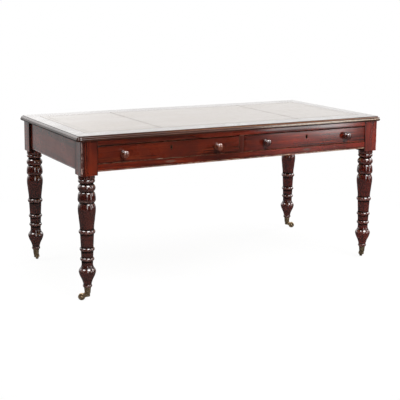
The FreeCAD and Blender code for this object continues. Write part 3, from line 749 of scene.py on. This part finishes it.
# The frame under the top
# Pine runners, guides, kickers, stops and glue blocks, left unpolished, with iron screws up
# through the kickers into the top. The core panel of the top is of the same pine.
ring_noise = (1.2, 34.0, 3.0, 0.5, 0.35)
fibre_noise = (9.0, 420.0, 3.0, 0.5, 0.0)
grime_noise = (6.0, 6.0, 4.0, 0.5, 0.4)
ring_ease = (0.4, 0.62, 0.0, 0.6)
fibre_ease = (0.4, 0.7, 0.0, 0.4)
grime_ease = (0.5, 0.75, 0.0, 0.35)
corner_grime_ease = (-0.1, -0.9)
bare_roughness_ease = (0.3, 0.7, 0.62, 0.8)
fibre_height = 0.6
ring_height = 0.5
bare_bump = 0.6
bare_bump_depth = 0.0004
brown_grime = (0.05, 0.03, 0.018, 1)


def plain_wood(name, along, shift, pale, dark):
    """Bare softwood or oak, planed and gone brown, with its grain along one axis."""
    material, place = new_material(name)
    rings = grain_noise(place, along, shift, *ring_noise)
    fibres = grain_noise(place, along, shift, *fibre_noise)
    stains = grain_noise(place, along, shift, *grime_noise)
    colour = mixed(eased(rings, *ring_ease) + eased(fibres, *fibre_ease), pale, dark)
    grime = eased(stains, *grime_ease).at_least(eased(relief_of(place), *corner_grime_ease))
    height = fibres * fibre_height + rings * ring_height
    surfaced(place, {
        "Base Color": mixed(grime, colour, brown_grime),
        "Roughness": eased(stains, *bare_roughness_ease),
        "Normal": bumped(height, bare_bump, bare_bump_depth),
    })
    return material


metal_noise_roughness = 0.6
tarnish_scale = 90.0
tarnish_detail = 5.0
tarnish_ease = (0.38, 0.66)
speck_scale = 600.0
speck_detail = 2.0
speck_ease = (0.56, 0.7)
speck_share = 0.6
speck_dulling = 0.4
speck_depth = 0.5
casting_scale = 300.0
casting_detail = 3.0
metal_bump = 0.4
metal_bump_depth = 0.0002
black_speck = (0.02, 0.014, 0.008, 1)


def aged_metal(name, bright, dull, metal, smooth, rough):
    """Metal that is bright in some places and dull with tarnish and black specks in others.

    Its roughness goes from smooth where it is bright to rough where it is dull.
    """
    material, place = new_material(name)
    tarnish = noise(place, tarnish_scale, tarnish_detail, metal_noise_roughness)
    tarnish = eased(tarnish, *tarnish_ease)
    specks = eased(noise(place, speck_scale, speck_detail, metal_noise_roughness), *speck_ease)
    casting = noise(place, casting_scale, casting_detail, metal_noise_roughness)
    surfaced(place, {
        "Base Color": mixed(specks * speck_share, mixed(tarnish, bright, dull), black_speck),
        "Metallic": metal - specks * speck_dulling,
        "Roughness": eased(tarnish, 0.0, 1.0, smooth, rough),
        "Normal": bumped(casting - specks * speck_depth, metal_bump, metal_bump_depth),
    })
    return material


pine_pale = (0.36, 0.2, 0.09, 1)
pine_dark = (0.24, 0.115, 0.045, 1)
bearer_grain_start = Vector((0, 4.0, 0))
bearer_grain_shift = Vector((2.3, 0, 1.1))
bearers = {
    "drawer_runners": 1, "drawer_guides": 1, "drawer_kickers": 1, "drawer_stops": 0,
    "glue_blocks": 0, "top_core": 0,
}
for number, (node, along) in enumerate(bearers.items()):
    shift = bearer_grain_start + number * bearer_grain_shift
    wood = plain_wood(node + "_pine", along, shift, pine_pale, pine_dark)
    solid = worn(packed_copy(node), rail_arris)
    shown(solid, node, "planed", "desk", wood)

iron = aged_metal(
    "screw_iron", bright=(0.12, 0.1, 0.09, 1), dull=(0.05, 0.03, 0.022, 1), metal=0.8,
    smooth=0.4, rough=0.7,
)
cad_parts["top_screws"].material_slots[0].material = iron


# The top
# Four mitred mahogany boards with a moulded edge, a round below a quirk and an ovolo, faded
# and worn at the arrises, round the core panel that carries the leather. The front round has
# a painted highlight, stronger to the right, over painted shadow at its foot, and the round
# at the left end is darkened as painted shade.
top_tones = ((0.017, 0.004, 0.0015, 1), (0.052, 0.012, 0.004, 1), (0.11, 0.032, 0.011, 1))
top_face_tones = ((0.042, 0.022, 0.011, 1), (0.062, 0.031, 0.015, 1), (0.085, 0.048, 0.023, 1))
top_face_from = 0.7594
top_wear = 0.7
top_arris = 0.0005
top_dirt_width = 0.0024
border_grain_start = Vector((5.0, 0, 1.0))
border_grain_shift = Vector((2.7, 3.3, 1.0))
torus_reach = 0.0055
torus_top = 0.0135
torus_upper_side = 0.0075
torus_foot = 0.0025
torus_rub_and_highlight_height = 0.0124
ovolo_rub_height = 0.0205
torus_rub_and_highlight = (0.66, 0.56, 0.44, 1)
ovolo_rubbed = (0.24, 0.095, 0.04, 1)
front_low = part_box("top_border_front")[0]
# A painted highlight along the front round, partly rubbing, and an orange-brown rubbed band along the
# ovolo.
border_rubs_and_highlight = (
    ((0.5, front_low.y, front_low.z + torus_rub_and_highlight_height), (0.55, 0.008, 0.0048), torus_rub_and_highlight),
    ((0.3, front_low.y, front_low.z + ovolo_rub_height), (1.1, 0.016, 0.0045), ovolo_rubbed),
)
left_arris_relief = 0.3
right_arris_relief = 0.5
left_torus_relief = -0.05
right_torus_rub_and_highlight = 0.6
torus_foot_shadow = -0.8
left_end_shade = -0.55


def rub_and_light_front_torus(solid):
    """Marks the front torus and the front arrises as rubbed, more to the right; on the torus the
    rubbing is also a painted highlight.

    The foot of the torus is marked hollow, a painted shadow under the nosing.
    """
    relief = relief_layer(solid)
    front_y = min(corner.co.y for corner in solid.verts)
    foot_z = min(corner.co.z for corner in solid.verts)
    for corner in solid.verts:
        height = corner.co.z - foot_z
        on_right = corner.co.x > 0
        if corner[relief] > 0:
            corner[relief] = right_arris_relief if on_right else left_arris_relief
        if corner.co.y - front_y < torus_reach and height < torus_top:
            if height > torus_upper_side:
                corner[relief] = right_torus_rub_and_highlight if on_right else left_torus_relief
            elif height < torus_foot:
                corner[relief] = torus_foot_shadow


def shade_end_torus(solid):
    """Marks the torus at the left end of the top hollow all over, a painted shade that darkens it."""
    relief = relief_layer(solid)
    end_x = min(corner.co.x for corner in solid.verts)
    foot_z = min(corner.co.z for corner in solid.verts)
    for corner in solid.verts:
        if corner.co.x - end_x < torus_reach and corner.co.z - foot_z < torus_top:
            corner[relief] = left_end_shade


borders = {"top_border_front": 0, "top_border_back": 0, "top_border_left": 1, "top_border_right": 1}
for number, (node, along) in enumerate(borders.items()):
    solid = worn(packed_copy(node), top_arris, top_dirt_width)
    marks = ()
    if node == "top_border_front":
        rub_and_light_front_torus(solid)
        marks = border_rubs_and_highlight
    if node == "top_border_left":
        shade_end_torus(solid)
    wood = mahogany(
        node + "_polish", along, border_grain_start + number * border_grain_shift, top_tones,
        top_wear, rail_coat, upper_tones=top_face_tones, upper_from=top_face_from, marks=marks,
    )
    shown(solid, node, "moulded", "desk", wood)


# The leather
# Three skins let in flush with the borders, butted at two cross seams, waxed and rubbed, with
# a blind-tooled double line round the whole field.
leather_base = (0.125, 0.083, 0.045, 1)
leather_worn = (0.162, 0.115, 0.07, 1)
leather_dark = (0.085, 0.052, 0.027, 1)
tooled_dark = (0.018, 0.009, 0.005, 1)
leather_round = 0.0013
tooling_inset = 0.024
tooling_spacing = 0.007
tooling_width = 0.0017
joint_reach = 0.0027
line_core_share = 0.4
leather_noise_roughness = 0.6
rubbed_stretch = (0.5, 1.6, 1)
rubbed_scale = 5.0
rubbed_detail = 5.0
mottle_scale = 38.0
mottle_detail = 4.0
stroke_stretch = (0.12, 1.5, 1)
stroke_scale = 30.0
stroke_detail = 3.0
pebble_scale = 750.0
crease_ease = (0.0, 0.14, 1.0, 0.0)
rubbed_ease = (0.4, 0.66)
mottle_ease = (0.45, 0.7, 0.0, 0.5)
stroke_ease = (0.5, 0.7, 0.0, 0.35)
crease_share = 0.35
tooling_share = 0.8
joint_share = 0.9
joint_relief_ease = (0.1, 0.7)
wax_roughness_ease = (0.35, 0.7, 0.3, 0.42)
crease_roughness = 0.12
joint_roughness = 0.55
mottle_height = 0.25
crease_sinking = 0.1
tooling_sinking = 0.8
stroke_height = 0.15
leather_bump = 0.35
leather_bump_depth = 0.0005
tooling_dulling = 0.4
wax_coat_roughness = 0.18


def tooled_leather():
    """Waxed leather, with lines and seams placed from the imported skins."""
    material, place = new_material("writing_leather")
    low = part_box("leather_left")[0]
    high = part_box("leather_right")[1]
    middle = (low + high) / 2
    half = (high - low) / 2
    seam_x = (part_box("leather_left")[1].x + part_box("leather_centre")[0].x) / 2
    x = part(place, "X")
    from_end = half.x - abs(x - middle.x)
    from_edge = half.y - abs(part(place, "Y") - middle.y)
    inset = from_end.at_most(from_edge)

    def line(distance):
        return eased(abs(inset - distance), tooling_width, tooling_width * line_core_share)

    tooling = line(tooling_inset).at_least(line(tooling_inset + tooling_spacing))
    joint = abs(abs(x) + seam_x).at_most(inset)
    joint = eased(joint, joint_reach, joint_reach * line_core_share)
    joint = joint.at_least(eased(relief_of(place), *joint_relief_ease))

    def cloudy(stretch, scale, detail):
        return noise(stretched(place, stretch), scale, detail, leather_noise_roughness)

    rubbed = cloudy(rubbed_stretch, rubbed_scale, rubbed_detail)
    mottle = cloudy((1, 1, 1), mottle_scale, mottle_detail)
    strokes = cloudy(stroke_stretch, stroke_scale, stroke_detail)
    pebble = place.node(
        "ShaderNodeTexVoronoi", {"feature": "DISTANCE_TO_EDGE"},
        {"Vector": place, "Scale": pebble_scale},
    )
    creases = eased(pebble, *crease_ease)

    colour = mixed(eased(rubbed, *rubbed_ease), leather_base, leather_worn)
    colour = mixed(eased(mottle, *mottle_ease), colour, leather_dark)
    colour = mixed(eased(strokes, *stroke_ease), colour, leather_worn)
    colour = mixed(creases * crease_share, colour, leather_dark)
    colour = mixed(tooling * tooling_share, colour, tooled_dark)
    colour = mixed(joint * joint_share, colour, tooled_dark)
    roughness = eased(rubbed, *wax_roughness_ease) + creases * crease_roughness
    roughness = roughness + joint * joint_roughness
    height = mottle * mottle_height - creases * crease_sinking
    height = height - tooling * tooling_sinking + strokes * stroke_height
    surfaced(place, {
        "Base Color": colour, "Roughness": roughness,
        "Coat Weight": 1 - joint.at_least(tooling * tooling_dulling),
        "Coat Roughness": wax_coat_roughness,
        "Normal": bumped(height, leather_bump, leather_bump_depth),
    })
    return material


leather = tooled_leather()
for node in ("leather_left", "leather_centre", "leather_right"):
    solid = worn(packed_copy(node), leather_round)
    shown(solid, node, "skin", "desk", leather)


# The drawers
# Mahogany fronts on bare oak boxes, dovetailed at the front corners. Each front has two turned
# knobs, a brass keyhole liner, and a brass lock let into its back.
drawer_tones = ((0.022, 0.0038, 0.0024, 1), (0.112, 0.0132, 0.0048, 1), (0.225, 0.038, 0.012, 1))
drawer_grain_start = Vector((2.0, 6.0, 1.5))
drawer_grain_shift = Vector((4.4, 0, 0))
face_depth = 0.00001
rubbed_margin = 0.004
lock_reach = 0.02
front_end_shade = -0.3
front_foot_relief = 0.9
front_head_rub_and_highlight = 0.5
pale_rubbed = (0.58, 0.45, 0.34, 1)
drawer_chips = {
    "left": [((-0.435, front_face_y, 0.6325), (0.02, 0.01, 0.003), pale_rubbed)],
    "right": [],
}

knob_coat = 2.2
# The same wood gets lighter, oranger tones for the left knobs and darker ones for the right: painted
# light.
knob_tones = {
    "left": ((0.045, 0.008, 0.0035, 1), (0.16, 0.032, 0.012, 1), (0.34, 0.1, 0.04, 1)),
    "right": ((0.02, 0.004, 0.003, 1), (0.06, 0.011, 0.007, 1), (0.11, 0.022, 0.013, 1)),
}
knob_grain_start = Vector((1.0, 3.0, 2.0))
knob_grain_shift = Vector((0, 1.0, 0))
knob_shadow_reach = (0.02, 0.02, 0.026)
knob_dome_share = 0.8
knob_neck_share = 0.72
knob_neck_contrast = 4
knob_flare_relief = 0.3

oak_pale = (0.4, 0.25, 0.12, 1)
oak_dark = (0.29, 0.155, 0.065, 1)
oak_grain_start = Vector((0, 0, 5.0))
oak_grain_shift = Vector((3.0, 0, 0))
oak_grain_turn = Vector((0, 2.0, 0))
linings = {"left_side": 1, "right_side": 1, "back": 0, "bottom": 0}

lock_brass = aged_metal(
    "lock_brass", bright=(0.5, 0.34, 0.15, 1), dull=(0.16, 0.1, 0.045, 1), metal=1.0,
    smooth=0.3, rough=0.55,
)
liner_brass = aged_metal(
    "liner_brass", bright=(0.12, 0.08, 0.04, 1), dull=(0.03, 0.02, 0.012, 1), metal=0.7,
    smooth=0.5, rough=0.7,
)
lock_metals = {"lock_case": lock_brass, "lock_bolt": lock_brass, "keyhole_liner": liner_brass}


def dirty_necks(solid, node):
    """Marks the knobs' hollow necks, from the distance of each corner to its knob's axis."""
    relief = relief_layer(solid)
    low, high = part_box(node)
    middle_z = (low.z + high.z) / 2
    radius = (high.z - low.z) / 2
    axes = (low.x + radius, high.x - radius)
    for corner in solid.verts:
        axis = min(axes, key=lambda x: abs(corner.co.x - x))
        away = math.hypot(corner.co.x - axis, corner.co.z - middle_z) / radius
        front = (high.y - corner.co.y) / (high.y - low.y)
        if front < knob_dome_share:
            mark = (away - knob_neck_share) * knob_neck_contrast
            corner[relief] = max(fully_hollow, min(knob_flare_relief, mark))
    return solid


def rub_and_shade_front_edges(solid, lock_x):
    """Marks a narrow margin of a drawer front: rubbed at the foot, rubbed with a painted highlight at
    the head, darkened as painted shade at the ends, and dirty round the keyhole.
    """
    relief = relief_layer(solid)
    front_y = min(corner.co.y for corner in solid.verts)
    low_z = min(corner.co.z for corner in solid.verts)
    high_z = max(corner.co.z for corner in solid.verts)
    low_x = min(corner.co.x for corner in solid.verts) + rubbed_margin
    high_x = max(corner.co.x for corner in solid.verts) - rubbed_margin
    for cut_x in (low_x, high_x):
        cut_across(solid, (cut_x, 0, 0), (1, 0, 0))
    faces = [
        face for face in solid.faces
        if all(corner.co.y - front_y < face_depth for corner in face.verts)
    ]
    made = bmesh.ops.inset_region(
        solid, faces=faces, thickness=rubbed_margin, use_even_offset=True
    )
    inner = {corner for face in faces for corner in face.verts}
    for face in made["faces"]:
        for corner in face.verts:
            from_middle = abs(2 * corner.co.z - low_z - high_z) / 2
            if max(abs(corner.co.x - lock_x), from_middle) < lock_reach:
                corner[relief] = fully_hollow
            elif corner.co.x < low_x - face_depth or corner.co.x > high_x + face_depth:
                corner[relief] = front_end_shade
            elif corner.co.z - low_z < rubbed_margin / 2:
                corner[relief] = front_foot_relief
            elif high_z - corner.co.z < rubbed_margin / 2:
                corner[relief] = front_head_rub_and_highlight
    for corner in inner:
        corner[relief] = 0.0
    return solid


for number, side in enumerate(("left", "right")):
    body = side + "_drawer"
    node = body + "_front"
    low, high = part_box(body + "_knobs")
    radius = (high.z - low.z) / 2
    front_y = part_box(node)[0].y
    # Painted shadows: a black patch under each knob stands for the shadow the knob casts.
    below_knobs = [(x, front_y, low.z) for x in (low.x + radius, high.x - radius)]
    marks = [(point, knob_shadow_reach, old_polish_and_shade) for point in below_knobs]
    # Painted light makes the drawer fronts lighter and redder towards the right end.
    wood = mahogany(
        node + "_polish", 0, drawer_grain_start + number * drawer_grain_shift, drawer_tones,
        flat_wear, rail_coat, marks=marks + drawer_chips[side], right_light_share=1.0,
    )
    low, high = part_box(body + "_keyhole_liner")
    solid = rub_and_shade_front_edges(worn(packed_copy(node), rail_arris), (low.x + high.x) / 2)
    shown(solid, node, "polished", body, wood)

    node = body + "_knobs"
    wood = mahogany(
        node + "_polish", 1, knob_grain_start + number * knob_grain_shift, knob_tones[side],
        turned_wear, knob_coat,
    )
    shown(dirty_necks(packed_copy(node), node), node, "turned", body, wood)

    for lining, along in linings.items():
        node = body + "_" + lining
        shift = oak_grain_start + number * oak_grain_shift + along * oak_grain_turn
        wood = plain_wood(node + "_oak", along, shift, oak_pale, oak_dark)
        solid = worn(packed_copy(node), rail_arris)
        shown(solid, node, "planed", body, wood)
    for lock_part, metal in lock_metals.items():
        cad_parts[body + "_" + lock_part].material_slots[0].material = metal


# The casters
# Cast brass cups over the feet, each with a swivelling horn and a solid brass wheel, gone brown
# and specked all over.
caster_brass = aged_metal(
    "caster_brass", bright=(0.72, 0.53, 0.33, 1), dull=(0.32, 0.22, 0.13, 1), metal=1.0,
    smooth=0.32, rough=0.55,
)
for foot in ("front_left", "front_right", "back_left", "back_right"):
    for casting in ("cup", "horn", "wheel", "axle"):
        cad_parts[foot + "_caster_" + casting].material_slots[0].material = caster_brass
